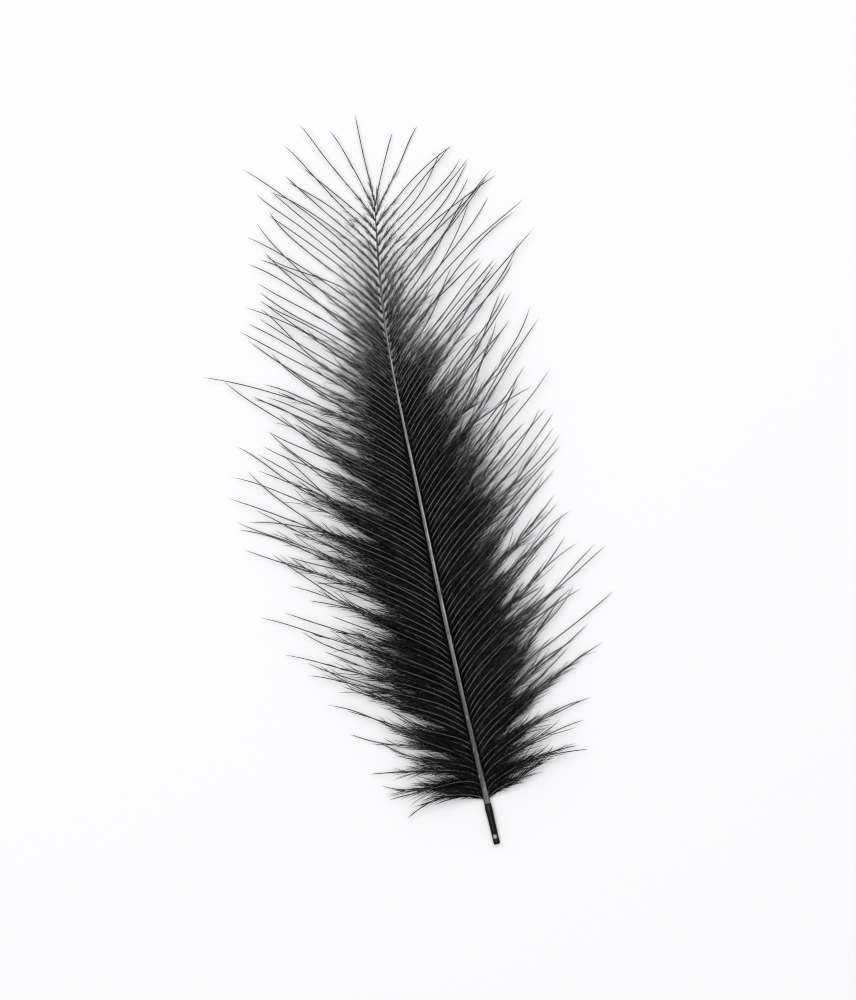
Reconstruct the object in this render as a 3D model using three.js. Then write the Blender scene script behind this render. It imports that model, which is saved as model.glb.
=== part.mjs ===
// A single cul de canard feather, lying on a flat surface. Units are millimetres, +Z is up.
// The stem runs along +Y, with the cut quill at the low end and the last barbs at the high end.
// The origin is under the middle of the whole feather, on the surface that it lies on.
// The barbs are far finer than a solid can hold. Each side's barbs are one low solid, flat where it
// lies down and highest beside the stem, with an outline that runs along the barbs' tips.
import * as THREE from "three";
import { mergeVertices } from "three/addons/utils/BufferGeometryUtils.js";

// The stem's middle line in plan, as [across, along] from the middle of the cut end.
const STEM_LINE = [
  [0, 0],
  [-0.43, 10],
  [-0.8, 20],
  [-1.05, 32],
  [-1.28, 44.5],
  [-0.85, 52],
  [0, 59.4],
];
// The stem's width at places along it. It narrows where the round quill ends and the barbs begin.
const STEM_WIDTHS = [
  [0, 0.58],
  [3.2, 0.64],
  [3.7, 0.57],
  [13, 0.44],
  [31, 0.4],
  [50, 0.2],
  [59.4, 0.06],
];
const STEM_LENGTH = 59.4;
const STEM_FLATNESS = 0.9; // height over width
const STEM_SIDES = 12;
const STEM_STEPS = 60;
const STEM_RISE = 0.7; // how far the middle of the stem arches up off the surface

const FIRST_BARB = 4.4; // where the lowest barbs leave the stem, along it from the cut end
const BASE_BARB_LENGTH = 7.5;
const FULL_BARB_LENGTH = 15.5;
const TIP_BARB_LENGTH = 6.3;
const BASE_REACH = 6; // the barbs lengthen over about this distance above the lowest
const TIP_REACH = 9; // they shorten over about this distance before the tip

const ROOT_ANGLE = 28; // degrees from the stem, where a barb leaves it
const BASE_ANGLE = 63; // degrees from the stem that a low barb turns out to
const UPPER_ANGLE = 47; // the same for the upper barbs
const UPPER_START = 42; // where along the stem the barbs reach that angle
const TURN_SHARE = 0.14; // a barb makes most of that turn in this share of its length
const FAN_LENGTH = 3.5; // the barbs close up to straight ahead over this distance before the tip

const CLEARANCE = 0.3; // gap between the stem and each side's solid
const EDGE_THICKNESS = 0.16; // of a side's solid, at the barbs' tips
const CROWN_FALL = 1.6; // how fast the solid thins from the stem outwards
const VANE_STEPS = 44; // along the stem
const BARB_STEPS = 8; // along a barb

const STEM_COLOUR = "#5a5a5c";
const BARB_COLOUR = "#17171a";

const UP = new THREE.Vector3(0, 0, 1);

/** The value at `along` on a line of [along, value] stations, eased between them. */
function atStation(stations, along) {
  const last = stations.length - 1;
  const next = Math.min(last, Math.max(1, stations.findIndex(([place]) => place >= along)));
  const [lowPlace, lowValue] = stations[next - 1];
  const [highPlace, highValue] = stations[next];
  const share = THREE.MathUtils.smoothstep(along, lowPlace, highPlace);
  return THREE.MathUtils.lerp(lowValue, highValue, share);
}

const stemCurve = new THREE.CatmullRomCurve3(
  STEM_LINE.map(([across, along]) => new THREE.Vector3(across, along, 0)),
);

/** The middle, direction and width of the stem at a share of its length from the cut end. */
function stemAt(share) {
  const middle = stemCurve.getPointAt(share);
  const width = atStation(STEM_WIDTHS, share * STEM_LENGTH);
  const height = width * STEM_FLATNESS;
  middle.z = height / 2 + STEM_RISE * Math.sin(Math.PI * share);
  return { middle, direction: stemCurve.getTangentAt(share), width, height };
}

/** Moves every vertex of a closed geometry by `place`, and shares the vertices that meet. */
function shaped(geometry, place) {
  geometry.deleteAttribute("normal");
  geometry.deleteAttribute("uv");
  const points = geometry.getAttribute("position");
  const vertex = new THREE.Vector3();
  for (let i = 0; i < points.count; i += 1) {
    vertex.fromBufferAttribute(points, i);
    const moved = place(vertex);
    points.setXYZ(i, moved.x, moved.y, moved.z);
  }
  const merged = mergeVertices(geometry);
  merged.computeVertexNormals();
  return merged;
}

/** The stem: a tapered oval rod, bent along its line, from the cut quill to the tip. */
function stemGeometry() {
  const rod = new THREE.CylinderGeometry(0.5, 0.5, 1, STEM_SIDES, STEM_STEPS);
  return shaped(rod, (vertex) => {
    const { middle, direction, width, height } = stemAt(vertex.y + 0.5);
    const across = new THREE.Vector3().crossVectors(direction, UP);
    return middle.addScaledVector(across, vertex.x * width).addScaledVector(UP, vertex.z * height);
  });
}

/** How long a barb is, by where it leaves the stem. */
function barbLength(along) {
  const fromBase = Math.exp((FIRST_BARB - along) / BASE_REACH);
  const grown = THREE.MathUtils.lerp(FULL_BARB_LENGTH, BASE_BARB_LENGTH, fromBase);
  const toTip = Math.exp((along - STEM_LENGTH) / TIP_REACH);
  return THREE.MathUtils.lerp(grown, TIP_BARB_LENGTH, toTip);
}

/** The angle from the stem, in radians, at a share of a barb's length. */
function barbAngle(along, share) {
  const upward = Math.min(1, (along - FIRST_BARB) / (UPPER_START - FIRST_BARB));
  const spread = THREE.MathUtils.lerp(BASE_ANGLE, UPPER_ANGLE, upward);
  const turned = 1 - Math.exp(-share / TURN_SHARE);
  const open = THREE.MathUtils.smoothstep(STEM_LENGTH - along, 0, FAN_LENGTH);
  return THREE.MathUtils.degToRad(THREE.MathUtils.lerp(ROOT_ANGLE, spread, turned) * open);
}

/** Points in plan along the barb that leaves one side (1 right, -1 left) of the stem at `along`. */
function barbLine(side, along) {
  const { middle, direction, width } = stemAt(along / STEM_LENGTH);
  const heading = Math.atan2(direction.x, direction.y);
  const step = barbLength(along) / BARB_STEPS;
  const outward = side * (width / 2 + CLEARANCE);
  const point = new THREE.Vector3(
    middle.x + outward * Math.cos(heading),
    middle.y - outward * Math.sin(heading),
    0,
  );
  const line = [point.clone()];
  for (let i = 0; i < BARB_STEPS; i += 1) {
    const turned = heading + side * barbAngle(along, (i + 0.5) / BARB_STEPS);
    point.x += step * Math.sin(turned);
    point.y += step * Math.cos(turned);
    line.push(point.clone());
  }
  return line;
}

/** One side's barbs as a solid: a slab whose ribs are barbs, flat below and crowned above. */
function vaneGeometry(side) {
  const lines = [];
  for (let i = 0; i <= VANE_STEPS; i += 1) {
    const along = THREE.MathUtils.lerp(FIRST_BARB, STEM_LENGTH, i / VANE_STEPS);
    const { middle, height } = stemAt(along / STEM_LENGTH);
    lines.push({ points: barbLine(side, along), crown: middle.z + height / 2 });
  }
  const slab = new THREE.BoxGeometry(1, 1, 1, BARB_STEPS, VANE_STEPS, 1);
  return shaped(slab, (vertex) => {
    const outward = vertex.x * side + 0.5;
    const { points, crown } = lines[Math.round((vertex.y + 0.5) * VANE_STEPS)];
    const point = points[Math.round(outward * BARB_STEPS)].clone();
    const top = EDGE_THICKNESS + (crown - EDGE_THICKNESS) * (1 - outward) ** CROWN_FALL;
    point.z = vertex.z > 0 ? top : 0;
    return point;
  });
}

/** A named mesh with a finish of its own. */
function part(name, geometry, color, roughness) {
  const mesh = new THREE.Mesh(
    geometry,
    new THREE.MeshStandardMaterial({ color, roughness, metalness: 0 }),
  );
  mesh.name = name;
  return mesh;
}

const feather = new THREE.Group();
feather.add(part("shaft", stemGeometry(), STEM_COLOUR, 0.4));
feather.add(part("left_vane", vaneGeometry(-1), BARB_COLOUR, 0.6));
feather.add(part("right_vane", vaneGeometry(1), BARB_COLOUR, 0.6));

const box = new THREE.Box3().setFromObject(feather);
const centre = box.getCenter(new THREE.Vector3());
feather.position.set(-centre.x, -centre.y, -box.min.z);

export default feather;
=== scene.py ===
"""One dyed black cul de canard feather, lying on a white surface and seen from straight above.

The stem is modelled with bmesh operators. The barbs, and the barbules that make them fluffy, are hair-thin
fibres by the ten thousand, so each group is one joined mesh grown from arrays. Lengths are in metres
where no docstring says millimetres. The stem runs along +Y from its cut quill to its tip, and the surface
is at z = 0.
"""

import logging
import math
from collections.abc import Callable
from dataclasses import dataclass, field
from enum import Enum
from typing import Any, NamedTuple

import bmesh
import bpy
import numpy as np
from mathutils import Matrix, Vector


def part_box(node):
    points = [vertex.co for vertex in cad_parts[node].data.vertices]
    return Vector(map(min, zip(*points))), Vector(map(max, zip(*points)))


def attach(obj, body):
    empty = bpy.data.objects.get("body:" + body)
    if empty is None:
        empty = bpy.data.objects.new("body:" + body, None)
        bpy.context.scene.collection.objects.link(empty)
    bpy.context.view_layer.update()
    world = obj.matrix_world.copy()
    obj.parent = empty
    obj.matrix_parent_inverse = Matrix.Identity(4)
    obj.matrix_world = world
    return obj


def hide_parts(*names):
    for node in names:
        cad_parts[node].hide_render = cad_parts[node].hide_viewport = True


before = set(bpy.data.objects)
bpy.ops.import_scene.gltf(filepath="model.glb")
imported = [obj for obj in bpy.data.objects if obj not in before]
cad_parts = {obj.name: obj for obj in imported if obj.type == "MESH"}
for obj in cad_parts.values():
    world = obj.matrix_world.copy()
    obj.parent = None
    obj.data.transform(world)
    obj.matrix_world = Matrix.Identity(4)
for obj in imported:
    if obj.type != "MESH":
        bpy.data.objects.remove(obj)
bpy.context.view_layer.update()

MM = 0.001
BODY = "root"
FIBRE_UV = "fibre"
SHADES = 16  # strips of a fibre piece's map, each with a shade of its own
STRIP_MARGIN = 0.1  # the share of a strip that is left free on each side of a fibre
UPRIGHT = 0.9  # a fibre that rises more steeply than this is guided by +X and not by +Z

# A Mix node's sockets for colours, by number: the share of the second, the two colours and the result.
MIX_SHARE, MIX_FIRST, MIX_SECOND, MIX_RESULT = 0, 6, 7, 2

Array = np.ndarray
Pair = tuple[float, float]
Triple = tuple[float, float, float]
Tree = bpy.types.NodeTree
Socket = bpy.types.NodeSocket
Section = Callable[[Array, Array, Array], tuple[Array, Array]]

log = logging.getLogger("feather")


class Side(Enum):
    """The side of the stem that a vane grows on, seen from above with the tip ahead."""

    LEFT = -1
    RIGHT = 1


def linear(code: str) -> tuple[float, float, float, float]:
    """Turns an sRGB hex colour into linear light.

    Args:
        code: The colour as "#rrggbb".

    Returns:
        Red, green, blue and an alpha of 1.
    """
    channels = [int(code[i : i + 2], 16) / 255 for i in (1, 3, 5)]
    lit = [c / 12.92 if c <= 0.04045 else ((c + 0.055) / 1.055) ** 2.4 for c in channels]
    return (lit[0], lit[1], lit[2], 1.0)


def add_node(
    tree: Tree,
    kind: str,
    inputs: dict[int | str, Any] | tuple = (),
    stops: tuple[tuple[float, str], ...] = (),
    **settings: Any,
) -> bpy.types.Node:
    """Adds a node, sets its properties, and fills or links its inputs.

    Args:
        tree: The node tree that it joins.
        kind: Blender's name for the node type, less the ShaderNode that it starts with.
        inputs: A socket to link from, or a plain value, for each input: in the node's own order, or by name
            or number.
        stops: A colour ramp's stops from low to high, each a place and an sRGB hex colour.
        settings: Properties of the node itself.

    Returns:
        The new node.
    """
    made = tree.nodes.new("ShaderNode" + kind)
    for name, value in settings.items():
        setattr(made, name, value)
    for name, value in inputs.items() if isinstance(inputs, dict) else enumerate(inputs):
        if isinstance(value, Socket):
            tree.links.new(value, made.inputs[name])
        else:
            made.inputs[name].default_value = value
    for number, (place, code) in enumerate(stops):
        elements = made.color_ramp.elements
        element = elements[number] if number < len(elements) else elements.new(place)
        element.position = place
        element.color = linear(code)
    return made


def grain(tree: Tree, vector: Socket, scale: tuple, detail: float = 1.0) -> Socket:
    """Noise that is stretched by its own scale on each axis.

    Args:
        tree: The node tree.
        vector: The coordinates.
        scale: Patches per unit of each coordinate.
        detail: Octaves of finer noise.

    Returns:
        The noise's socket, about 0.5 on average.
    """
    drawn = add_node(tree, "Mapping", {"Vector": vector, "Scale": scale}).outputs["Vector"]
    inputs = {"Vector": drawn, "Scale": 1.0, "Detail": detail}
    return add_node(tree, "TexNoise", inputs).outputs["Fac"]


def add_object(name: str, data: bpy.types.ID) -> bpy.types.Object:
    """Adds an object to the scene.

    Args:
        name: Its name.
        data: Its mesh, camera or light.

    Returns:
        The new object.
    """
    made = bpy.data.objects.new(name, data)
    bpy.context.scene.collection.objects.link(made)
    return made


def new_material(name: str, numbers: dict[str, Any]) -> tuple[bpy.types.Material, Tree, bpy.types.Node]:
    """Makes a material with an empty tree, a Principled shader and an output.

    Args:
        name: The material's name.
        numbers: The shader's constant inputs.

    Returns:
        The material, its node tree and its Principled shader.
    """
    material = bpy.data.materials.new(name)
    material.use_nodes = True
    tree = material.node_tree
    tree.nodes.clear()
    shader = add_node(tree, "BsdfPrincipled", numbers)
    add_node(tree, "OutputMaterial", {"Surface": shader.outputs["BSDF"]})
    return material, tree, shader


@dataclass(frozen=True)
class DyedHorn:
    """The cut quill: clear horn dyed black right through, scraped smooth.

    It gives the eye a near-black tube with faint dye streaks, a weak line of light along its top, and one
    painted glint near the cut: a pale patch in its colour that stands in for light glinting off the quill.
    The glint is placed on the quill's own map, and its edge is the span of distances, made ragged by the
    streaks, over which it fades out.
    """

    name: str = "dyed_horn_quill"
    tones: tuple = ((0.4, "#050505"), (0.75, "#171617"))
    # painted glint near the cut: its pale colour, its place on the map, its reach and its ragged edge
    painted_glint: str = "#a9a7a8"
    glint_place: Triple = (0.19, 0.515, 0.0)
    glint_reach: Triple = (0.05, 0.1, 1.0)
    glint_edge: Pair = (1.5, 2.3)
    raggedness: float = 2.0
    roughness: float = 0.26
    gloss: float = 0.15
    ior: float = 1.55
    streak_width: float = 0.05 * MM
    streak_length: float = 1.2 * MM
    streak_detail: float = 4.0
    relief: float = 0.01 * MM
    relief_strength: float = 0.3

    def material(self) -> bpy.types.Material:
        """Builds the material.

        Returns:
            The finished material.
        """
        numbers = {"Roughness": self.roughness, "Specular IOR Level": self.gloss, "IOR": self.ior}
        made, tree, shader = new_material(self.name, numbers)
        place = add_node(tree, "TexCoord").outputs["Object"]
        scale = (1 / self.streak_width, 1 / self.streak_length, 1 / self.streak_width)
        streaks = grain(tree, place, scale, self.streak_detail)
        horn = add_node(tree, "ValToRGB", (streaks,), self.tones).outputs["Color"]

        uv = add_node(tree, "UVMap", uv_map=FIBRE_UV).outputs["UV"]
        off = add_node(tree, "VectorMath", (uv, self.glint_place), operation="SUBTRACT").outputs[0]
        off = add_node(tree, "VectorMath", (off, self.glint_reach), operation="DIVIDE").outputs[0]
        away = add_node(tree, "VectorMath", (off,), operation="LENGTH").outputs["Value"]
        inputs = (streaks, self.raggedness, away)
        ragged = add_node(tree, "Math", inputs, operation="MULTIPLY_ADD").outputs[0]
        past = add_node(tree, "MapRange", (ragged, *self.glint_edge)).outputs[0]
        # painted glint: a pale patch mixed into the horn's colour, standing in for light glinting off the
        # quill
        inputs = {MIX_SHARE: past, MIX_FIRST: linear(self.painted_glint), MIX_SECOND: horn}
        colour = add_node(tree, "Mix", inputs, data_type="RGBA").outputs[MIX_RESULT]
        tree.links.new(colour, shader.inputs["Base Color"])

        inputs = {"Height": streaks, "Strength": self.relief_strength, "Distance": self.relief}
        tree.links.new(add_node(tree, "Bump", inputs).outputs["Normal"], shader.inputs["Normal"])
        return made


@dataclass(frozen=True)
class DyedStem:
    """The stem above the quill: pale pith under thin horn, dyed less on its flat top than on its sides.

    It gives the eye a grey stripe with streaks along it and small dark nicks. The right of its top is
    painted paler and the left darker, a painted highlight and shade for how the light falls on it; a few
    pale spots are painted glints; and a darker line down the middle is painted shade, as in a fine groove.
    Its black edges, which close in on it towards the tip, are partly the darker dye of its sides and partly
    painted shade where the barb roots meet it, and its tip is black. Its own map has its length in U and the
    way round it in V, with the middle of its top at 0.5 and its right side below that. Three numbers are the
    length of a pattern's patches, their number round the stem and their octaves of finer noise. Four are
    the two that a pattern is read between and the two that they become: shades multiply the tone, and
    edges are the black edges' distance from the middle.
    """

    name: str = "dyed_stem"
    tones: tuple = (
        (0.0, "#868587"),
        (0.05, "#535254"),
        (0.11, "#3f3e40"),
        (0.22, "#716f72"),
        (0.45, "#8b8a8c"),
        (0.72, "#999799"),
        (0.83, "#757476"),
        (0.9, "#363536"),
        (1.0, "#121112"),
    )
    length: float = 56.3 * MM
    streaks: Triple = (1.6 * MM, 10.0, 2.0)
    streak_shades: tuple = (0.39, 0.61, 0.48, 1.2)
    nicks: Triple = (0.3 * MM, 5.0, 1.0)
    nick_shades: tuple = (0.32, 0.43, 0.32, 1.0)
    # painted highlight and shade: the right of the top made paler and the left darker, for how the light
    # falls
    lit_side_shades: tuple = (0.44, 0.56, 1.25, 0.4)
    # painted glints: a few pale spots in the stem's colour that stand in for light caught on its top
    glint_colour: str = "#929193"
    glints: Triple = (0.6 * MM, 9.0, 0.0)
    glint_rise: Pair = (0.73, 0.82)
    # painted shade: a darker line down the middle of the top, as in a fine groove
    painted_groove_shades: tuple = (0.0, 0.035, 0.78, 1.0)
    # black edges: partly the darker dye of the sides, partly painted shade where the barb roots meet them
    edge: str = "#080708"
    edges: tuple = (0.12, 0.55, 0.15, 0.075)
    edge_fade: float = 0.04
    roughness: float = 0.42
    ior: float = 1.5
    relief: float = 0.02 * MM
    relief_strength: float = 0.6

    def shaded(self, tree: Tree, tone: Socket, pattern: Socket, shades: tuple) -> Socket:
        """Darkens or lightens a tone by a pattern.

        Args:
            tree: The node tree.
            tone: The tone.
            pattern: The pattern that it follows.
            shades: The two values that the pattern is read between, and the two that they become.

        Returns:
            The socket of the tone times those.
        """
        shade = add_node(tree, "MapRange", (pattern, *shades)).outputs[0]
        inputs = {MIX_SHARE: 1.0, MIX_FIRST: tone, MIX_SECOND: shade}
        made = add_node(tree, "Mix", inputs, data_type="RGBA", blend_type="MULTIPLY")
        return made.outputs[MIX_RESULT]

    def material(self) -> bpy.types.Material:
        """Builds the material.

        Returns:
            The finished material.
        """
        made, tree, shader = new_material(self.name, {"Roughness": self.roughness, "IOR": self.ior})
        uv = add_node(tree, "UVMap", uv_map=FIBRE_UV).outputs["UV"]
        split = add_node(tree, "SeparateXYZ", (uv,))
        along, around = split.outputs["X"], split.outputs["Y"]
        streaks, nicks, glints = (
            grain(tree, uv, (self.length / long, count, 1.0), detail)
            for long, count, detail in (self.streaks, self.nicks, self.glints)
        )
        off_top = add_node(tree, "Math", (around, 0.5), operation="SUBTRACT").outputs[0]
        off_top = add_node(tree, "Math", (off_top,), operation="ABSOLUTE").outputs[0]

        tone = add_node(tree, "ValToRGB", (along,), self.tones).outputs["Color"]
        tone = self.shaded(tree, tone, streaks, self.streak_shades)
        tone = self.shaded(tree, tone, nicks, self.nick_shades)
        # painted highlight on the right of the top, painted shade on its left
        tone = self.shaded(tree, tone, around, self.lit_side_shades)
        # painted glints: pale spots mixed into the tone
        on_glint = add_node(tree, "MapRange", (glints, *self.glint_rise)).outputs[0]
        inputs = {MIX_SHARE: on_glint, MIX_FIRST: tone, MIX_SECOND: linear(self.glint_colour)}
        tone = add_node(tree, "Mix", inputs, data_type="RGBA").outputs[MIX_RESULT]
        # painted shade down the middle of the top
        tone = self.shaded(tree, tone, off_top, self.painted_groove_shades)

        # black edges: the sides' darker dye and painted shade from the barb roots
        limit = add_node(tree, "MapRange", (along, *self.edges)).outputs[0]
        past = add_node(tree, "Math", (off_top, limit), operation="SUBTRACT").outputs[0]
        inputs = (past, 0.0, self.edge_fade)
        on_side = add_node(tree, "MapRange", inputs, interpolation_type="SMOOTHSTEP").outputs[0]
        inputs = {MIX_SHARE: on_side, MIX_FIRST: tone, MIX_SECOND: linear(self.edge)}
        colour = add_node(tree, "Mix", inputs, data_type="RGBA").outputs[MIX_RESULT]
        tree.links.new(colour, shader.inputs["Base Color"])

        inputs = {"Height": streaks, "Strength": self.relief_strength, "Distance": self.relief}
        tree.links.new(add_node(tree, "Bump", inputs).outputs["Normal"], shader.inputs["Normal"])
        return made


@dataclass(frozen=True)
class DyedFibre:
    """Barbs and barbules: keratin hairs dyed black, with the dye thinner towards each fine end.

    It gives the eye black threads with a soft silky line of light, some a shade greyer than others.
    A fibre's length is U of its map, and each strip of V is another shade. Hold is the share of the way to
    the tip's colour that keeps the root's. The barbs run the other way from the dye's thinning: their root's
    colour is paler, partly a painted sheen for the lit grey lines that they show over the dark fluff, and it
    darkens towards the tip. A share of U at a barb's root is painted shade: black and less glossy, where the
    barb runs into the shade beside the stem.
    """

    name: str
    root: str
    tip: str
    roughness: float
    gloss: float
    # painted shade: the share of a barb beside the stem that is black and less glossy, as in the stem's
    # shade
    shaded_foot: float = 0.0
    hold: float = 0.0
    ior: float = 1.54
    patches: Triple = (3.0, 1.7 * SHADES, 1.0)
    unevenness: float = 1.4
    colour_span: Pair = (0.5, 1.7)
    foot_shade: str = "#050405"
    shaded_foot_gloss: float = 0.1
    full_shade_share: float = 0.4

    def material(self) -> bpy.types.Material:
        """Builds the material.

        Returns:
            The finished material.
        """
        numbers = {"Roughness": self.roughness, "IOR": self.ior, "Specular IOR Level": self.gloss}
        made, tree, shader = new_material(self.name, numbers)
        uv = add_node(tree, "UVMap", uv_map=FIBRE_UV).outputs["UV"]
        along = add_node(tree, "SeparateXYZ", (uv,)).outputs["X"]
        shade = grain(tree, uv, self.patches)
        inputs = (shade, self.unevenness, along)
        paler = add_node(tree, "Math", inputs, operation="MULTIPLY_ADD").outputs[0]
        place = add_node(tree, "MapRange", (paler, *self.colour_span)).outputs[0]
        # for the barbs the root's colour is the paler one, partly a painted sheen
        stops = ((self.hold, self.root), (1.0, self.tip))
        colour = add_node(tree, "ValToRGB", (place,), stops).outputs["Color"]
        # painted shade at the barbs' feet beside the stem: black colour and lower gloss
        if self.shaded_foot:
            foot = (self.full_shade_share * self.shaded_foot, self.shaded_foot)
            past = add_node(tree, "MapRange", (along, *foot)).outputs[0]
            inputs = {MIX_SHARE: past, MIX_FIRST: linear(self.foot_shade), MIX_SECOND: colour}
            colour = add_node(tree, "Mix", inputs, data_type="RGBA").outputs[MIX_RESULT]
            inputs = (along, *foot, self.shaded_foot_gloss, self.gloss)
            gloss = add_node(tree, "MapRange", inputs).outputs[0]
            tree.links.new(gloss, shader.inputs["Specular IOR Level"])
        tree.links.new(colour, shader.inputs["Base Color"])
        return made


@dataclass(frozen=True)
class WhiteBoard:
    """The surface: matt white card, with a tooth too fine to see as more than an even white."""

    name: str = "matt_white_card"
    colour: str = "#f4f3f5"
    roughness: float = 0.9

    def material(self) -> bpy.types.Material:
        """Builds the material."""
        return new_material(self.name, {"Base Color": linear(self.colour), "Roughness": self.roughness})[0]


def smooth_step(value: Array | float, low: float, high: float) -> Array:
    """Eases from 0 at `low` to 1 at `high`."""
    share = np.clip((np.asarray(value, float) - low) / (high - low), 0, 1)
    return share * share * (3 - 2 * share)


def unit(vectors: Array) -> Array:
    """The vectors at length 1."""
    return vectors / np.maximum(np.linalg.norm(vectors, axis=-1, keepdims=True), 1e-12)


def line_through(points: Array, samples: int) -> Array:
    """Draws a smooth line through a few points.

    Args:
        points: The points, one a row.
        samples: How many points the line gets.

    Returns:
        The line's points, one a row.
    """
    padded = np.vstack([2 * points[0] - points[1], points, 2 * points[-1] - points[-2]])
    at = np.linspace(0, len(points) - 1, samples)
    index = np.minimum(at.astype(int), len(points) - 2)
    t = (at - index)[:, None]
    before, low, high, after = (padded[index + i] for i in range(4))
    bend = (2 * before - 5 * low + 4 * high - after) * t**2
    turn = (3 * low - before - 3 * high + after) * t**3
    return 0.5 * (2 * low + (high - before) * t + bend + turn)


class StemPlaces(NamedTuple):
    """Places along the stem, as arrays with a row for each."""

    middle: Array
    heading: Array
    width: Array
    height: Array


@dataclass
class StemLine:
    """Where the stem runs and how thick it is, which everything that grows on it follows.

    The plan's points from the cut end, and the widths at distances from it, are in millimetres.
    """

    plan: tuple = ((0, 0), (-0.43, 10), (-0.8, 20), (-1.05, 32), (-1.28, 44.5), (-0.85, 52), (0, 59.4))
    widths: tuple = ((0, 0.58), (3.2, 0.64), (3.7, 0.57), (13, 0.44), (31, 0.4), (50, 0.2), (59.4, 0.06))
    length: float = 59.4 * MM
    flatness: float = 0.9
    rise: float = 0.7 * MM
    clearance: float = 0.009 * MM
    samples: int = 600
    line: Array = field(init=False)
    along: Array = field(init=False)

    def __post_init__(self) -> None:
        """Sets the line out from the CAD stem's own box, so that the two lie in one place."""
        low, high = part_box("shaft")
        butt = np.array([high.x - self.widths[0][1] * MM / 2, low.y])
        self.line = line_through(np.array(self.plan, float) * MM, self.samples) + butt
        steps = np.linalg.norm(np.diff(self.line, axis=0), axis=1)
        run = np.concatenate([[0], np.cumsum(steps)])
        self.along = run / run[-1] * self.length

    def at(self, along: Array) -> StemPlaces:
        """Looks up places along the stem.

        Args:
            along: Distances from the cut end.

        Returns:
            The stem's middle, its heading (the angle from +Y towards +X), width and height there.
        """
        along = np.asarray(along, float)
        stations = np.array(self.widths) * MM
        index = np.clip(np.searchsorted(stations[:, 0], along), 1, len(stations) - 1)
        low, high = stations[index - 1], stations[index]
        share = np.clip((along - low[:, 0]) / (high[:, 0] - low[:, 0]), 0, 1)
        width = low[:, 1] + (high[:, 1] - low[:, 1]) * share * share * (3 - 2 * share)
        height = width * self.flatness
        middle = np.stack([np.interp(along, self.along, self.line[:, axis]) for axis in (0, 1)], axis=1)
        arch = np.sin(np.pi * np.clip(along / self.length, 0, 1))
        lift = height / 2 + self.clearance + self.rise * arch
        slope = np.gradient(self.line, axis=0)
        turn = np.arctan2(slope[:, 0], slope[:, 1])
        heading = np.interp(along, self.along, turn)
        return StemPlaces(np.column_stack([middle, lift]), heading, width, height)


def finish_piece(piece: bpy.types.Object, node: str, material: bpy.types.Material) -> None:
    """Dresses a finished piece and gives it its place in the frame.

    Args:
        piece: The piece, with its place in its mesh.
        node: The CAD node that it stands for.
        material: Its finish.
    """
    piece.data.materials.clear()
    piece.data.materials.append(material)
    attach(piece, BODY)
    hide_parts(node)
    piece.data.calc_loop_triangles()
    log.info("%s: %d triangles", piece.name, len(piece.data.loop_triangles))


@dataclass
class Rod:
    """A closed rod that is drawn out along the stem's line."""

    name: str
    sides: int
    steps: int

    def blank(self) -> bmesh.types.BMesh:
        """Makes a straight capped rod of unit length and radius.

        Returns:
            The rod, with its length cut into steps.
        """
        rod = bmesh.new()
        bmesh.ops.create_cone(
            rod, cap_ends=True, cap_tris=False, segments=self.sides, radius1=1, radius2=1, depth=1
        )
        risers = [e for e in rod.edges if abs(e.verts[0].co.z - e.verts[1].co.z) > 0.5]
        bmesh.ops.subdivide_edges(rod, edges=risers, cuts=self.steps - 1, use_grid_fill=True)
        return rod

    def lay_map(self, rod: bmesh.types.BMesh) -> None:
        """Writes the rod's length into U and the way round it, from the underside, into V.

        Args:
            rod: The straight rod.
        """
        layer = rod.loops.layers.uv.new(FIBRE_UV)
        for face in rod.faces:
            rounds = [math.atan2(loop.vert.co.x, -loop.vert.co.y) / math.tau % 1 for loop in face.loops]
            wraps = max(rounds) - min(rounds) > 0.5
            for loop, way in zip(face.loops, rounds, strict=True):
                loop[layer].uv = (loop.vert.co.z + 0.5, way + 1 if wraps and way < 0.5 else way)

    def to_object(self, rod: bmesh.types.BMesh) -> bpy.types.Object:
        """Turns the shaped rod into a smooth-shaded object.

        Args:
            rod: The rod, which is freed.

        Returns:
            The object.
        """
        bmesh.ops.recalc_face_normals(rod, faces=rod.faces)
        mesh = bpy.data.meshes.new(self.name)
        rod.to_mesh(mesh)
        rod.free()
        mesh.shade_smooth()
        return add_object(self.name, mesh)


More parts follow.
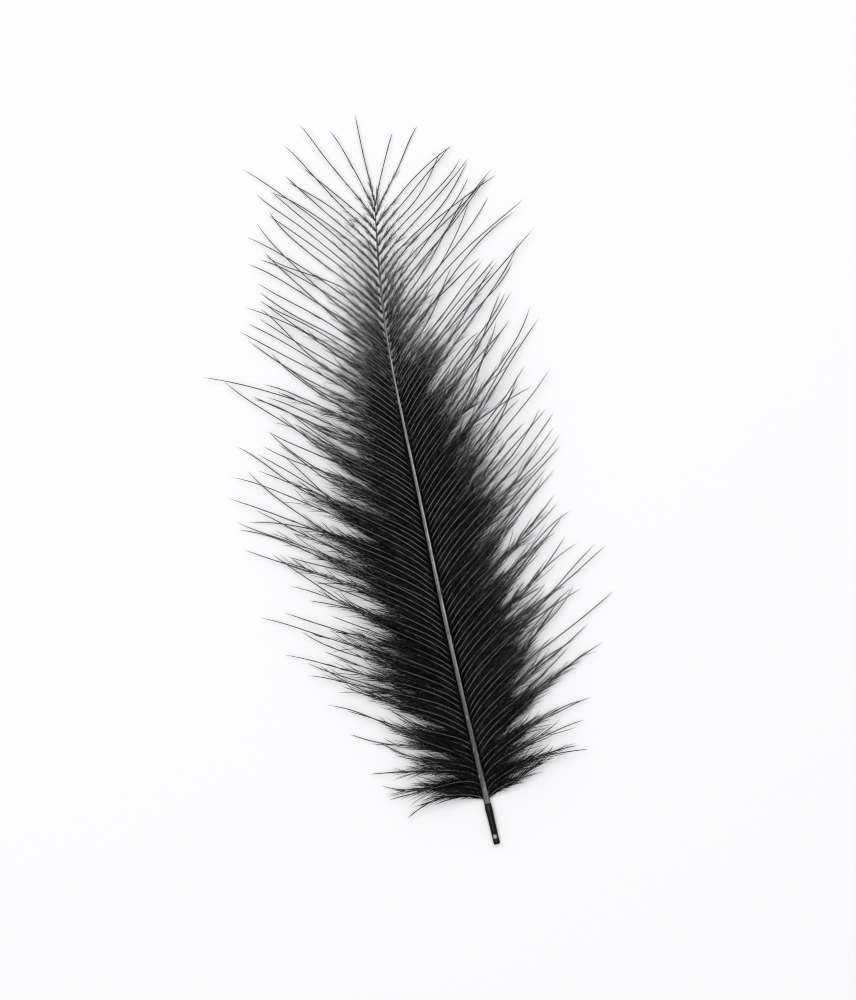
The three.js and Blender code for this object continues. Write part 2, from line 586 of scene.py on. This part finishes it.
@dataclass
class Stem:
    """The feather's shaft: the cut quill and the flat-topped grey stem that rises out of it.

    The quill swells to a collar round the stem's foot, and the knife left it a low lip and a dent. Their
    heights, like the groove's, the pinch and the flat top, are shares of the radius.
    """

    line: StemLine
    quill_end: float = 3.75 * MM
    stem_start: float = 3.1 * MM
    wall: float = 0.07 * MM
    hollow: float = 1.1 * MM
    cut_slant: float = 0.12
    slant_part: float = 4  # the slant fades out over one part in this many of the quill
    collar: float = 0.07
    collar_span: Pair = (2.4 * MM, 3.2 * MM)
    lip: float = 0.05
    lip_at: float = 0.2 * MM
    lip_reach: float = 0.25 * MM
    dent: float = 0.09
    dent_at: float = 0.8 * MM
    dent_reach: float = 0.22 * MM
    dent_turn: float = 0.5
    groove: float = 0.012 * MM
    groove_length: float = 4.5 * MM
    groove_shift: float = 1.7
    usual_radius: float = 0.2 * MM
    pinch: float = 0.1
    pinch_length: float = 0.4 * MM
    flat_top: float = 0.8
    seed: int = 11

    def lay_out(self, rod: bmesh.types.BMesh, start: float, end: float, shape: Section) -> None:
        """Moves a straight rod's vertices onto the stem's line.

        Args:
            rod: The straight rod.
            start: Where its low end goes, along the stem.
            end: Where its high end goes.
            shape: Gives the across and up offsets, as shares of the half width and half height, for the
                way round in radians (0 is +X), the distance along and the radius on the straight rod.
        """
        vertices = list(rod.verts)
        raw = np.array([v.co for v in vertices])
        along = start + (raw[:, 2] + 0.5) * (end - start)
        places = self.line.at(along)
        radius = np.hypot(raw[:, 0], raw[:, 1])
        across, up = shape(np.arctan2(raw[:, 1], raw[:, 0]), along, radius)
        beside = np.stack([np.cos(places.heading), -np.sin(places.heading), np.zeros_like(along)], axis=1)
        moved = places.middle + beside * (across * places.width / 2)[:, None]
        moved[:, 2] += up * places.height / 2
        for vertex, place in zip(vertices, moved, strict=True):
            vertex.co = place

    def build_quill(self) -> bpy.types.Object:
        """Models the round black quill, with its cut and hollow end.

        Returns:
            The quill.
        """
        shell = Rod("quill", sides=32, steps=30)
        rod = shell.blank()
        shell.lay_map(rod)
        cut_face = min(rod.faces, key=lambda f: f.calc_center_median().z)
        half_width = self.line.widths[0][1] * MM / 2
        bmesh.ops.inset_region(rod, faces=[cut_face], thickness=self.wall / half_width, depth=0)
        inward = bmesh.ops.extrude_discrete_faces(rod, faces=[cut_face])["faces"]
        bmesh.ops.translate(rod, verts=inward[0].verts, vec=(0, 0, self.hollow / self.quill_end))

        def round_section(way: Array, along: Array, radius: Array) -> tuple[Array, Array]:
            """Gives the quill's round section.

            Args:
                way: The way round.
                along: The distance along.
                radius: The radius on the straight rod.

            Returns:
                The offsets across and up.
            """
            collar = self.collar * smooth_step(along, *self.collar_span)
            lip = self.lip * np.exp(-(((along - self.lip_at) / self.lip_reach) ** 2))
            near_dent = np.exp(-(((along - self.dent_at) / self.dent_reach) ** 2))
            dent = self.dent * near_dent * np.clip(np.sin(way + self.dent_turn), 0, 1)
            size = radius * (1 + collar + lip - dent)
            return size * np.cos(way), size * np.sin(way)

        for vertex in rod.verts:
            near_cut = 1 - min(1.0, (vertex.co.z + 0.5) * self.slant_part)
            vertex.co.z += near_cut * self.cut_slant * vertex.co.x * half_width / self.quill_end
        self.lay_out(rod, 0.0, self.quill_end, round_section)
        return shell.to_object(rod)

    def build_stem(self) -> bpy.types.Object:
        """Models the grey stem, flat on top and finely grooved, down to its thread-like tip.

        Returns:
            The stem.
        """
        shell = Rod("stem", sides=40, steps=170)
        rod = shell.blank()
        shell.lay_map(rod)
        random = np.random.default_rng(self.seed)
        depth = random.normal(0, 1, shell.sides)

        def flat_section(way: Array, along: Array, radius: Array) -> tuple[Array, Array]:
            """Gives the stem's flat-topped section.

            Args:
                way: The way round.
                along: The distance along.
                radius: The radius on the straight rod.

            Returns:
                The offsets across and up.
            """
            around = np.round(way / math.tau * shell.sides).astype(int) % shell.sides
            drift = np.sin(along / self.groove_length + around * self.groove_shift)
            size = radius * (1 + self.groove / self.usual_radius * depth[around] * drift)
            free = smooth_step(along, self.quill_end, self.quill_end + self.pinch_length)
            size *= 1 - self.pinch + self.pinch * free
            upward = np.sin(way)
            flat = self.flat_top * (1 - (1 - np.clip(upward, 0, 1)) ** 2)
            return size * np.cos(way), size * np.where(upward > 0, flat, upward)

        self.lay_out(rod, self.stem_start, self.line.length, flat_section)
        return shell.to_object(rod)


class Fibres(NamedTuple):
    """A bunch of fibres: a row of points and radii for each, from its foot to its tip."""

    paths: Array
    radii: Array


def fibre_mesh(name: str, fibres: Fibres, sides: int, random: np.random.Generator) -> bpy.types.Object:
    """Joins fibres into one mesh of slim closed tubes, each of them pointed at both ends.

    Args:
        name: The piece's name.
        fibres: The fibres. Their first and last radii aren't used.
        sides: How many sides each tube has.
        random: Picks the strip of the map, and with it the shade, that each fibre gets.

    Returns:
        The piece. Its map has a fibre's length in U, and a stack of strips in V, one to a fibre.
    """
    paths, radii = fibres
    count, knots = radii.shape
    rings = knots - 2
    tangent = unit(np.gradient(paths, axis=1))
    steep = np.abs(tangent[:, :1, 2:3]) > UPRIGHT
    guide = np.where(steep, np.array([1.0, 0, 0]), np.array([0, 0, 1.0]))
    beside = unit(np.cross(tangent, np.broadcast_to(guide, tangent.shape)))[:, 1:-1, None]
    above = np.cross(beside, tangent[:, 1:-1, None])
    way = (np.arange(sides) * math.tau / sides)[:, None]
    ring = paths[:, 1:-1, None] + (beside * np.cos(way) + above * np.sin(way)) * radii[:, 1:-1, None, None]
    points = np.concatenate([paths[:, :1], ring.reshape(count, rings * sides, 3), paths[:, -1:]], axis=1)
    each = rings * sides + 2

    side = np.arange(sides)
    after = (side + 1) % sides
    low = 1 + (np.arange(rings - 1) * sides)[:, None]
    quads = np.stack([low + side, low + sides + side, low + sides + after, low + after], axis=2)
    last = 1 + (rings - 1) * sides
    feet = np.stack([np.zeros(sides, int), 1 + side, 1 + after], axis=1)
    tips = np.stack([last + side, np.full(sides, each - 1), last + after], axis=1)
    corners = np.concatenate([feet.ravel(), quads.ravel(), tips.ravel()])
    sizes = np.concatenate([np.full(sides, 3), np.full((rings - 1) * sides, 4), np.full(sides, 3)])

    step = 1 / (knots - 1)
    near, far = side / sides, (side + 1) / sides
    half = (near + far) / 2
    low_u = np.repeat((np.arange(rings - 1) + 1) * step, sides)
    low_v, high_v = np.tile(near, rings - 1), np.tile(far, rings - 1)
    along = [
        np.tile([0, step, step], sides),
        np.stack([low_u, low_u + step, low_u + step, low_u], axis=1).ravel(),
        np.tile([1 - step, 1, 1 - step], sides),
    ]
    around = [
        np.stack([half, near, far], axis=1).ravel(),
        np.stack([low_v, low_v, high_v, high_v], axis=1).ravel(),
        np.stack([near, half, far], axis=1).ravel(),
    ]
    strip = random.integers(0, SHADES, count)[:, None]
    uv = np.empty((count, len(corners), 2), np.float32)
    uv[:, :, 0] = np.concatenate(along)
    uv[:, :, 1] = (strip + STRIP_MARGIN + (1 - 2 * STRIP_MARGIN) * np.concatenate(around)) / SHADES

    mesh = bpy.data.meshes.new(name)
    all_corners = corners[None] + (np.arange(count) * each)[:, None]
    all_sizes = np.tile(sizes, count)
    starts = np.concatenate([[0], np.cumsum(all_sizes)[:-1]])
    mesh.vertices.add(count * each)
    mesh.vertices.foreach_set("co", points.astype(np.float32).ravel())
    mesh.loops.add(all_corners.size)
    mesh.loops.foreach_set("vertex_index", all_corners.astype(np.int32).ravel())
    mesh.polygons.add(len(all_sizes))
    mesh.polygons.foreach_set("loop_start", starts.astype(np.int32))
    mesh.update(calc_edges=True)
    mesh.uv_layers.new(name=FIBRE_UV).data.foreach_set("uv", uv.ravel())
    mesh.shade_smooth()
    return add_object(name, mesh)


@dataclass(frozen=True)
class Habit:
    """How unevenly barbs grow.

    Angles are in degrees, heights in millimetres, and lengths and gaps in shares of what they would be. A
    drift is what neighbours have in common: its size, and how many barbs it reaches over. A span is where
    along a barb something sets in and where it is full. What is called downy is added at the vane's
    unruly foot.
    """

    gap_scatter: float = 0.1
    cluster_size: tuple[int, int] = (2, 6)
    cluster_pull: Pair = (0, 0.8)
    cluster_span: Pair = (0.3, 0.8)
    longest: float = 1.33
    length_drift: Pair = (0.04, 3.0)
    length_scatter: float = 0.09
    broken_share: float = 0.06
    broken_length: Pair = (0.45, 0.8)
    long_share: float = 0.18
    long_length: Pair = (1.1, 1.42)
    downy_angle: float = 12
    angle_drift: Pair = (1.2, 5.0)
    angle_scatter: float = 0.9
    downy_scatter: float = 10
    turn_scatter: Pair = (-0.08, 0.12)
    bow: float = -2
    bow_drift: Pair = (5, 4.0)
    bow_scatter: float = 9
    downy_bow: float = 1.2
    bow_middle: float = 0.3
    bow_span: Pair = (0.2, 0.55)
    stray_share: float = 0.12
    downy_strays: float = 0.2
    stray_bow: Pair = (14, 44)
    lean_scatter: float = 4.2
    lean_span: Pair = (0.15, 0.6)
    wave_scatter: float = 4.0
    wave_rate: Pair = (0.8, 1.6)
    hook_scatter: float = 10
    hook_span: Pair = (0.75, 1.1)
    lift: Pair = (-0.6, 0.6)
    lift_drift: Pair = (0.3, 3.0)
    lift_span: Pair = (0.04, 0.4)
    tip_height: Pair = (0.3, 0.35)
    radius_scatter: float = 0.07


@dataclass
class Vane:
    """One side's barbs, from their roots in the stem's sides to their tips.

    Angles are in degrees. The crest is in millimetres, and so are the widths, at shares of a barb's length.
    """

    line: StemLine
    side: Side
    seed: int
    habit: Habit = Habit()
    first_barb: float = 4.1 * MM
    spacing: float = 0.61 * MM
    tip_spacing: float = 0.92 * MM
    tip_part: float = 0.6
    bare_tip: float = 0.25 * MM
    downy_part: float = 6 * MM
    full_length: float = 16.2 * MM
    base_length: float = 7.5 * MM
    tip_length: float = 6.3 * MM
    base_reach: float = 6 * MM
    tip_reach: float = 9 * MM
    root_angle: float = 30
    root_depth: float = 0.3
    root_drop: float = 0.12
    base_angle: float = 63
    upper_angle: float = 47
    upper_start: float = 42 * MM
    turn_share: float = 0.11
    fan_start: float = -0.6 * MM
    fan_length: float = 3.5 * MM
    crest: float = 0.65
    knots: int = 26
    knot_crowding: float = 1.25
    sides: int = 5
    widths: tuple = ((0, 0.13), (0.08, 0.116), (0.3, 0.112), (0.6, 0.11), (0.88, 0.096), (1, 0.04))
    slim_start: float = 0.5
    slimming: float = 0.1
    floor_gap: float = 0.01 * MM
    random: np.random.Generator = field(init=False)
    shares: Array = field(init=False)
    along: Array = field(init=False)
    downy: Array = field(init=False)

    def __post_init__(self) -> None:
        """Starts this side's own run of random numbers and sets out its barbs along the stem."""
        self.random = np.random.default_rng(self.seed)
        self.shares = np.linspace(0, 1, self.knots) ** self.knot_crowding
        self.along = self.roots()
        self.downy = 1 - smooth_step(self.along, self.first_barb, self.first_barb + self.downy_part)

    def drift(self, size: float, reach: float) -> Array:
        """A random number about 0 for each barb that neighbours share, so that barbs lean in company.

        Args:
            size: Its spread.
            reach: Over how many neighbours it changes.

        Returns:
            The numbers.
        """
        count = len(self.along)
        edge = int(4 * reach)
        window = np.exp(-0.5 * (np.arange(-edge, edge + 1) / reach) ** 2)
        window /= np.sqrt((window**2).sum())
        return size * np.convolve(self.random.normal(0, 1, count + 2 * edge), window, mode="valid")

    def roots(self) -> Array:
        """Sets the barbs out along the stem.

        Returns:
            Their distances from the cut end.
        """
        scatter = self.habit.gap_scatter
        places = [self.first_barb]
        while places[-1] < self.line.length - self.bare_tip:
            near_tip = float(smooth_step(places[-1], self.tip_part * self.line.length, self.line.length))
            gap = self.spacing + (self.tip_spacing - self.spacing) * near_tip
            places.append(places[-1] + gap * (1 + self.random.uniform(-scatter, scatter)))
        return np.array(places[:-1])

    def clusters(self) -> Array:
        """Gathers the barbs' outer halves in small clusters.

        Returns:
            How far each leans towards its neighbours, in barb spacings.
        """
        count = len(self.along)
        pull = np.zeros(count)
        at = 0
        while at < count:
            size = int(self.random.integers(*self.habit.cluster_size))
            members = np.arange(at, min(count, at + size))
            pull[members] = self.random.uniform(*self.habit.cluster_pull) * (members.mean() - members)
            at += size
        return pull

    def lengths(self) -> Array:
        """How long the barbs are: as the CAD vane has them, with some scatter and a few broken short.

        Returns:
            Their lengths.
        """
        random, habit = self.random, self.habit
        count = len(self.along)
        from_base = np.exp((self.first_barb - self.along) / self.base_reach)
        to_tip = np.exp((self.along - self.line.length) / self.tip_reach)
        grown = self.full_length + (self.base_length - self.full_length) * from_base
        length = grown + (self.tip_length - grown) * to_tip
        longest = habit.longest * length
        length *= 1 + self.drift(*habit.length_drift) + random.normal(0, habit.length_scatter, count)
        broken = random.uniform(size=count) < habit.broken_share
        length[broken] *= random.uniform(*habit.broken_length, broken.sum())
        long = random.uniform(size=count) < habit.long_share
        length[long] *= random.uniform(*habit.long_length, long.sum())
        return np.minimum(length, longest)

    def angles(self, length: Array) -> Array:
        """The barbs' angles to the stem: steep at the foot, soon turned out, then nearly straight.

        Args:
            length: How long the barbs are.

        Returns:
            Degrees, with a row for each barb and a column for each step along it.
        """
        random, habit, downy = self.random, self.habit, self.downy
        count = len(self.along)
        step = (self.shares[1:] + self.shares[:-1]) / 2
        share_up = np.clip((self.along - self.first_barb) / (self.upper_start - self.first_barb), 0, 1)
        spread = self.base_angle + (self.upper_angle - self.base_angle) * share_up
        shared = self.drift(*habit.angle_drift)
        own = random.normal(0, habit.angle_scatter, count) * (1 + habit.downy_scatter * downy)
        spread += habit.downy_angle * downy + shared + own
        turn = self.turn_share * (1 + random.uniform(*habit.turn_scatter, count))
        turned = 1 - np.exp(-step / turn[:, None])
        angle = self.root_angle + (spread[:, None] - self.root_angle) * turned

        shared = self.drift(*habit.bow_drift)
        own = random.normal(0, habit.bow_scatter, count) * (1 + habit.downy_bow * downy)
        bow = habit.bow + shared + own
        stray = random.uniform(size=count) < habit.stray_share + habit.downy_strays * downy
        bow[stray] += random.choice([-1, 1], stray.sum()) * random.uniform(*habit.stray_bow, stray.sum())
        angle += bow[:, None] * (step - habit.bow_middle) * smooth_step(step, *habit.bow_span)
        pull = np.degrees(self.clusters() * self.spacing / length)[:, None]
        angle += pull * smooth_step(step, *habit.cluster_span)
        angle += random.normal(0, habit.lean_scatter, count)[:, None] * smooth_step(step, *habit.lean_span)

        wave = random.normal(0, habit.wave_scatter, count)[:, None]
        phase = random.uniform(0, 1, count)[:, None]
        rate = random.uniform(*habit.wave_rate, count)[:, None]
        angle += wave * np.sin(math.tau * (step * rate + phase)) * step
        angle += random.normal(0, habit.hook_scatter, count)[:, None] * smooth_step(step, *habit.hook_span)
        return angle * smooth_step(self.line.length - self.along, self.fan_start, self.fan_length)[:, None]

    def heights(self, places: StemPlaces) -> Array:
        """How high the barbs run: from the stem's side over a low crest, and down to the surface.

        Args:
            places: The stem at each barb's root.

        Returns:
            Heights, with a row for each barb and a column for each knot along it.
        """
        random, habit = self.random, self.habit
        count = len(self.along)
        foot = places.middle[:, 2] - self.root_drop * places.height
        lift = random.uniform(*habit.lift, count) + self.drift(*habit.lift_drift)
        lift = lift * (1 + self.downy) * MM
        crest = foot + self.crest * (1 + self.downy) * MM
        tip = np.abs(random.normal(*habit.tip_height, count)) * MM
        v = self.shares
        crest = crest[:, None] + lift[:, None] * smooth_step(v, *habit.lift_span)
        return foot[:, None] * (1 - v) ** 2 + 2 * crest * v * (1 - v) + tip[:, None] * v**2

    def grow_barbs(self) -> Fibres:
        """Grows the barbs.

        Returns:
            The barbs as fibres.
        """
        count = len(self.along)
        places = self.line.at(self.along)
        length = self.lengths()
        heading = places.heading[:, None] + self.side.value * np.radians(self.angles(length))
        across = np.column_stack([np.cos(places.heading), -np.sin(places.heading)])
        root = places.middle[:, :2] + across * (self.side.value * self.root_depth * places.width)[:, None]
        steps = np.diff(self.shares)[None] * length[:, None]
        plan = np.stack([steps * np.sin(heading), steps * np.cos(heading)], axis=2)
        plan = np.concatenate([np.zeros((count, 1, 2)), np.cumsum(plan, axis=1)], axis=1) + root[:, None]
        high_up = smooth_step(self.along, self.slim_start * self.line.length, self.line.length)
        slim = 1 - self.slimming * high_up
        radii = np.interp(self.shares, *np.array(self.widths).T)[None] * slim[:, None] * MM / 2
        radii *= 1 + self.random.normal(0, self.habit.radius_scatter, radii.shape)
        height = np.maximum(self.heights(places), radii + self.floor_gap)
        return Fibres(np.concatenate([plan, height[:, :, None]], axis=2), radii)


@dataclass(frozen=True)
class Coat:
    """One kind of barbule, in one finish and joined into a few groups, each of them a piece.

    Crowd is how many grow on a metre of barb, and cover the share of the barb that they grow on. Each of
    these two, and the length, is a value low on the feather and one at its tip. Fade is how fast they thin
    out along the barb, from 0 to 1. Lean is the angle to the barb, tilt the angle above its side, and curl
    the turn towards it, each as a mean and a spread in degrees. Knots are the points that one is drawn by.
    """

    name: str
    finish: DyedFibre
    crowd: Pair
    long: Pair
    cover: Pair
    fade: float
    radius: float
    lean: Pair
    tilt: Pair
    curl: Pair
    knots: int
    groups: int


@dataclass
class Fluff:
    """The barbules along one side's barbs: long and dense low on the feather, short and sparse above.

    Real ones are about 0.01 mm thick and far more in number. These are thicker and fewer, which gives the
    same darkness from where the camera is. Beside the stem they are tucked down by some degrees, so that
    the barbs show on top of them. Thinning is where along the stem they start to get fewer, and where they
    are fewest. Losses and slimming are shares, and a scatter of two numbers is what a size is multiplied by.
    """

    vane: Vane
    thinning: Pair = (0.35, 0.97)
    tuck: float = 16.0
    tuck_span: Pair = (0.0, 0.35)
    sides: int = 3
    cover_scatter: float = 0.13
    most_cover: float = 0.92
    outer_loss: float = 0.35
    length_scatter: Pair = (0.5, 1.25)
    radius_scatter: Pair = (0.75, 1.2)
    slimming: float = 0.3
    taper: Pair = (1.15, 0.7)
    lean_loss: float = 0.6

    def grow(self, barbs: Fibres, coat: Coat) -> list[Fibres]:
        """Grows one coat of barbules.

        Args:
            barbs: The side's barbs.
            coat: What kind they are.

        Returns:
            The barbules, in groups from the quill to the tip.
        """
        random = self.vane.random
        shares = self.vane.shares
        count = len(barbs.paths)
        low = 1 - smooth_step(self.vane.along / self.vane.line.length, *self.thinning)
        pairs = (coat.crowd, coat.long, coat.cover)
        crowd, long, cover = (pair[1] + (pair[0] - pair[1]) * low for pair in pairs)
        cover = np.minimum(cover * (1 + random.normal(0, self.cover_scatter, count)), self.most_cover)
        length = np.linalg.norm(np.diff(barbs.paths, axis=1), axis=2).sum(axis=1)
        barb = np.repeat(np.arange(count), (length * cover * crowd).astype(int))
        total = len(barb)
        out = cover[barb] * (1 - random.uniform(0, 1, total) ** coat.fade)

        knot = np.clip(np.searchsorted(shares, out), 1, len(shares) - 1)
        near, far = barbs.paths[barb, knot - 1], barbs.paths[barb, knot]
        part = (out - shares[knot - 1]) / (shares[knot] - shares[knot - 1])
        foot = near + (far - near) * part[:, None]
        ahead = unit(far - near)
        beside = unit(np.cross(ahead, np.array([0, 0, 1.0])))
        above = np.cross(beside, ahead)

        hand = random.choice([-1.0, 1.0], total)
        tucked = self.tuck * (1 - smooth_step(out, *self.tuck_span))
        tilt = np.radians(random.normal(*coat.tilt, total) - tucked)
        outward = beside * (hand * np.cos(tilt))[:, None] + above * np.sin(tilt)[:, None]
        lean, curl = self.bends(ahead, barb, out, hand == -self.vane.side.value, coat)
        turn = lean[:, None] + curl[:, None] * np.linspace(0, 1, coat.knots - 1)
        way = ahead[:, None] * np.cos(turn)[:, :, None] + outward[:, None] * np.sin(turn)[:, :, None]
        shorter = 1 - self.outer_loss * out / cover[barb]
        reach = long[barb] * shorter * random.uniform(*self.length_scatter, total)
        steps = way * reach[:, None, None] / (coat.knots - 1)
        paths = foot[:, None] + np.concatenate([np.zeros((total, 1, 3)), np.cumsum(steps, axis=1)], axis=1)
        slim = 1 - self.slimming + self.slimming * low[barb]
        thick = coat.radius * random.uniform(*self.radius_scatter, total) * slim
        radii = thick[:, None] * np.linspace(*self.taper, coat.knots)
        paths[:, :, 2] = np.maximum(paths[:, :, 2], radii + self.vane.floor_gap)
        parts = [np.array_split(rows, coat.groups) for rows in (paths, radii)]
        return [Fibres(*group) for group in zip(*parts, strict=True)]

    def bends(self, ahead: Array, barb: Array, out: Array, inner: Array, coat: Coat) -> tuple[Array, Array]:
        """How far the barbules lean off their barbs, and how they curl. None of them lies over the stem.

        Args:
            ahead: The barb's direction at each barbule's foot.
            barb: The number of each barbule's barb.
            out: Its foot's place along the barb.
            inner: Whether it grows on the barb's side towards the stem.
            coat: What kind they are.

        Returns:
            The lean of the near end and what the far end adds to it, in radians.
        """
        lean = np.radians(self.vane.random.normal(*coat.lean, len(barb)) * (1 - self.lean_loss * out))
        curl = np.radians(self.vane.random.normal(*coat.curl, len(barb)))
        turn = self.vane.line.at(self.vane.along).heading[barb]
        off_stem = np.arccos(np.clip(ahead[:, 0] * np.sin(turn) + ahead[:, 1] * np.cos(turn), -1, 1))
        lean = np.where(inner, np.minimum(lean, off_stem), lean)
        curl = np.where(inner, np.minimum(curl, off_stem - lean), curl)
        return lean, curl


# barbs: paler towards the root, partly a painted sheen for their lit grey lines; the black foot beside the
# stem is painted shade
BARB_FINISH = DyedFibre("dyed_barb", "#434245", "#121112", 0.3, 0.58, shaded_foot=0.11, hold=0.35)
COATS = (
    Coat(
        name="down",
        finish=DyedFibre("dyed_down", "#020202", "#070607", 0.6, 0.02),
        crowd=(60 / MM, 22 / MM), long=(1.15 * MM, 0.35 * MM),
        cover=(0.48, 0.3), fade=0.45, radius=0.02 * MM,
        lean=(29, 11), tilt=(-18, 20), curl=(-8, 16),
        knots=3, groups=2,
    ),
    Coat(
        name="barbules",
        finish=DyedFibre("dyed_barbule", "#030303", "#1a191b", 0.42, 0.12),
        crowd=(22 / MM, 4.0 / MM), long=(2.5 * MM, 0.9 * MM),
        cover=(0.6, 0.4), fade=0.36, radius=0.021 * MM,
        lean=(18, 6), tilt=(-14, 14), curl=(-6, 8),
        knots=4, groups=2,
    ),
    Coat(
        name="strands",
        finish=DyedFibre("dyed_strand", "#060506", "#1d1c1e", 0.36, 0.24),
        crowd=(6.4 / MM, 1.5 / MM), long=(3.6 * MM, 1.3 * MM),
        cover=(0.74, 0.54), fade=0.42, radius=0.034 * MM,
        lean=(14, 7), tilt=(-14, 12), curl=(-7, 12),
        knots=5, groups=1,
    ),
)


@dataclass
class Feather:
    """The whole feather."""

    line: StemLine = field(default_factory=StemLine)
    seeds: dict[Side, int] = field(default_factory=lambda: {Side.LEFT: 4, Side.RIGHT: 9})

    def build(self) -> None:
        """Builds, dresses and places every piece."""
        stem = Stem(self.line)
        finish_piece(stem.build_quill(), "shaft", DyedHorn().material())
        finish_piece(stem.build_stem(), "shaft", DyedStem().material())
        barb_material = BARB_FINISH.material()
        coat_materials = {coat.name: coat.finish.material() for coat in COATS}
        for side, seed in self.seeds.items():
            word = side.name.lower()
            vane = Vane(self.line, side, seed)
            barbs = vane.grow_barbs()
            piece = fibre_mesh(f"{word}_barbs", barbs, vane.sides, vane.random)
            finish_piece(piece, f"{word}_vane", barb_material)
            fluff = Fluff(vane)
            for coat in COATS:
                for number, fibres in enumerate(fluff.grow(barbs, coat), 1):
                    piece = fibre_mesh(f"{word}_{coat.name}_{number}", fibres, fluff.sides, vane.random)
                    finish_piece(piece, f"{word}_vane", coat_materials[coat.name])


@dataclass
class Studio:
    """A white surface, soft light and a camera looking straight down, as for a product picture.

    The pixel is its size on the surface, and the camera's lean in its own plane is in degrees.
    """

    line: StemLine
    pixel: float = 0.09 * MM
    picture: tuple[int, int] = (856, 1000)
    butt_pixel: Pair = (497.0, 843.5)
    lean: float = 10.74
    lens: float = 100.0
    sensor: float = 36.0
    near_clip: float = 0.01
    floor_size: float = 4.0
    sky: float = 0.42
    lamp_size: float = 0.7
    lamp_power: float = 3.76
    lamp_at: Triple = (-0.05, 0.12, 0.62)
    pixel_filter: float = 1.1

    def lay_floor(self) -> None:
        """Lays the white surface, cut from a grid, with its top at z = 0."""
        grid = bmesh.new()
        bmesh.ops.create_grid(grid, x_segments=4, y_segments=4, size=self.floor_size / 2)
        mesh = bpy.data.meshes.new("floor")
        grid.to_mesh(mesh)
        grid.free()
        mesh.materials.append(WhiteBoard().material())
        floor = add_object("floor", mesh)

    def set_camera(self) -> None:
        """Hangs the camera over the feather so that its cut end and lean match the picture's."""
        data = bpy.data.cameras.new("camera")
        data.lens = self.lens
        data.sensor_width = self.sensor
        data.clip_start = self.near_clip
        camera = add_object("camera", data)
        angle = math.radians(self.lean)
        right = Vector((math.cos(angle), -math.sin(angle), 0))
        up = Vector((math.sin(angle), math.cos(angle), 0))
        across = (self.butt_pixel[0] - self.picture[0] / 2) * self.pixel
        down = (self.butt_pixel[1] - self.picture[1] / 2) * self.pixel
        butt = Vector((*self.line.line[0], 0))
        middle = butt - right * across + up * down
        distance = self.picture[1] * self.pixel * self.lens / self.sensor
        camera.location = middle + Vector((0, 0, distance))
        camera.rotation_euler = (0, 0, -angle)
        bpy.context.scene.camera = camera

    def set_lights(self) -> None:
        """Lights it with a white sky and one broad soft lamp from the upper left."""
        world = bpy.data.worlds.new("white_room")
        world.use_nodes = True
        tree = world.node_tree
        tree.nodes.clear()
        sky = add_node(tree, "Background", (linear("#ffffff"), self.sky))
        add_node(tree, "OutputWorld", {"Surface": sky.outputs["Background"]})
        bpy.context.scene.world = world
        data = bpy.data.lights.new("softbox", "AREA")
        data.shape = "RECTANGLE"
        data.size = self.lamp_size
        data.size_y = self.lamp_size
        data.energy = self.lamp_power
        lamp = add_object("softbox", data)
        lamp.location = self.lamp_at
        lamp.rotation_euler = (-lamp.location).to_track_quat("-Z", "Y").to_euler()

    def set_up(self) -> None:
        """Sets up the floor, the camera, the lights and a plain reading of their colours."""
        self.lay_floor()
        self.set_camera()
        self.set_lights()
        bpy.context.scene.view_settings.view_transform = "Standard"
        bpy.context.scene.cycles.filter_width = self.pixel_filter


def main() -> None:
    """Builds the feather and the studio, in that order."""
    logging.basicConfig(level=logging.INFO, format="%(name)s: %(message)s")
    feather = Feather()
    feather.build()
    Studio(feather.line).set_up()


if __name__ == "__main__":
    main()
